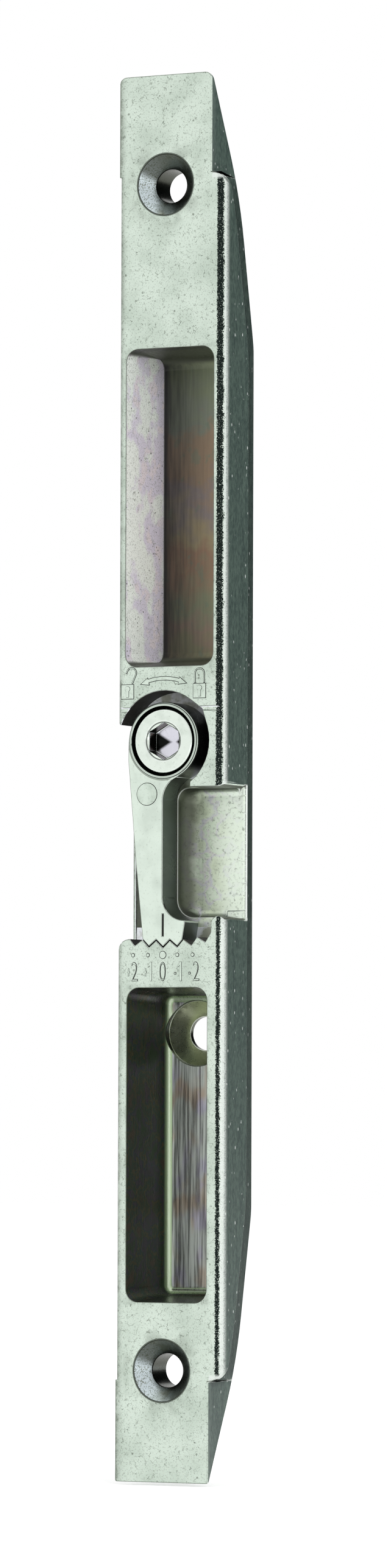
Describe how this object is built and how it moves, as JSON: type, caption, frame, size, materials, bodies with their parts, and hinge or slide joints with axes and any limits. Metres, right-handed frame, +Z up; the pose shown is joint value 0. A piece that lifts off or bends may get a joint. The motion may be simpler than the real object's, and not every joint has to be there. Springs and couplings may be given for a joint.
{
  "type": "strike plate",
  "caption": "Long die-cast strike plate for a multipoint door lock, with deep bolt pockets and a toothed latch lever clamped by a socket screw.",
  "frame": {"origin": "on the front face, midway between the two end screw holes", "axes": "+Z up along the plate, +X towards the side with the flange and the latch recess, +Y into the door frame behind the front face"},
  "size_m": [0.0184, 0.016, 0.216],
  "materials": {
    "body_casting": "zinc-plated and passivated zinc die casting",
    "lever_casting": "zinc-plated and passivated zinc die casting",
    "screw_steel": "zinc-plated steel",
    "nut_steel": "zinc-plated steel"
  },
  "bodies": {
    "strike": {"strike_body": "body_casting"},
    "nut": {"clamp_nut": "nut_steel"},
    "screw": {"clamp_screw": "screw_steel"},
    "lever": {"latch_lever": "lever_casting"}
  },
  "joints": [
    {"name": "lever_lift", "type": "slide", "parent": "strike", "child": "nut", "axis": [0, 0, 1], "range_m": [0, 0.0013]},
    {"name": "screw_turn", "type": "hinge", "parent": "nut", "child": "screw", "pos_m": [0, 0, 0.0052], "axis": [0, -1, 0], "range_deg": [0, 180]},
    {"name": "lever_swing", "type": "hinge", "parent": "nut", "child": "lever", "pos_m": [0, 0, 0.0052], "axis": [0, -1, 0], "range_deg": [-8.8, 8.8]}
  ],
  "couplings": [
    {"joint": "lever_swing", "follows": "lever_lift", "rad_per_m": 29.5}
  ]
}
